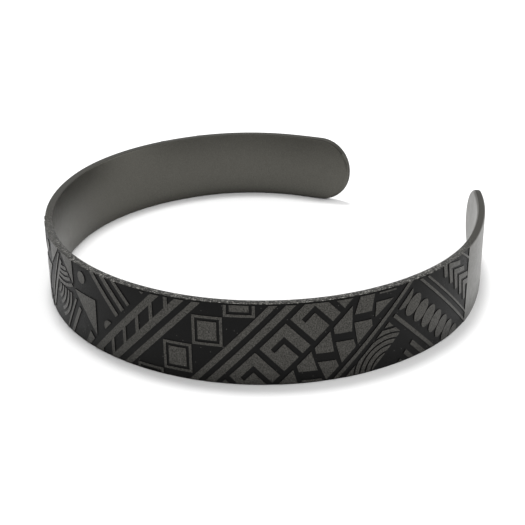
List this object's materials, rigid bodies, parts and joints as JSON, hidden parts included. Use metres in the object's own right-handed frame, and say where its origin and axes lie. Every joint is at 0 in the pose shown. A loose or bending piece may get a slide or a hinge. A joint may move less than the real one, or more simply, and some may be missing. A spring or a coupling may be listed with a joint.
{
  "type": "open titanium cuff bracelet",
  "caption": "Open cuff bracelet bent from one flat titanium strip with round ends, its outer face etched to leave a raised band of geometric figures.",
  "frame": {"origin": "middle of the bounding box, at the lower edge that the cuff rests on", "axes": "+Z along the axis of the ring, from the lower edge to the upper; +X along the longer width of the ring; the gap for the wrist opens towards +Y and the middle of the pattern faces -Y"},
  "size_m": [0.061, 0.0579, 0.01],
  "materials": {
    "titanium": "dark grey titanium: finely blasted raised figures over a matt, nearly black etched ground, satin ends and inner face, rough cut edges"
  },
  "bodies": {
    "root": {"cuff": "titanium"}
  },
  "joints": []
}
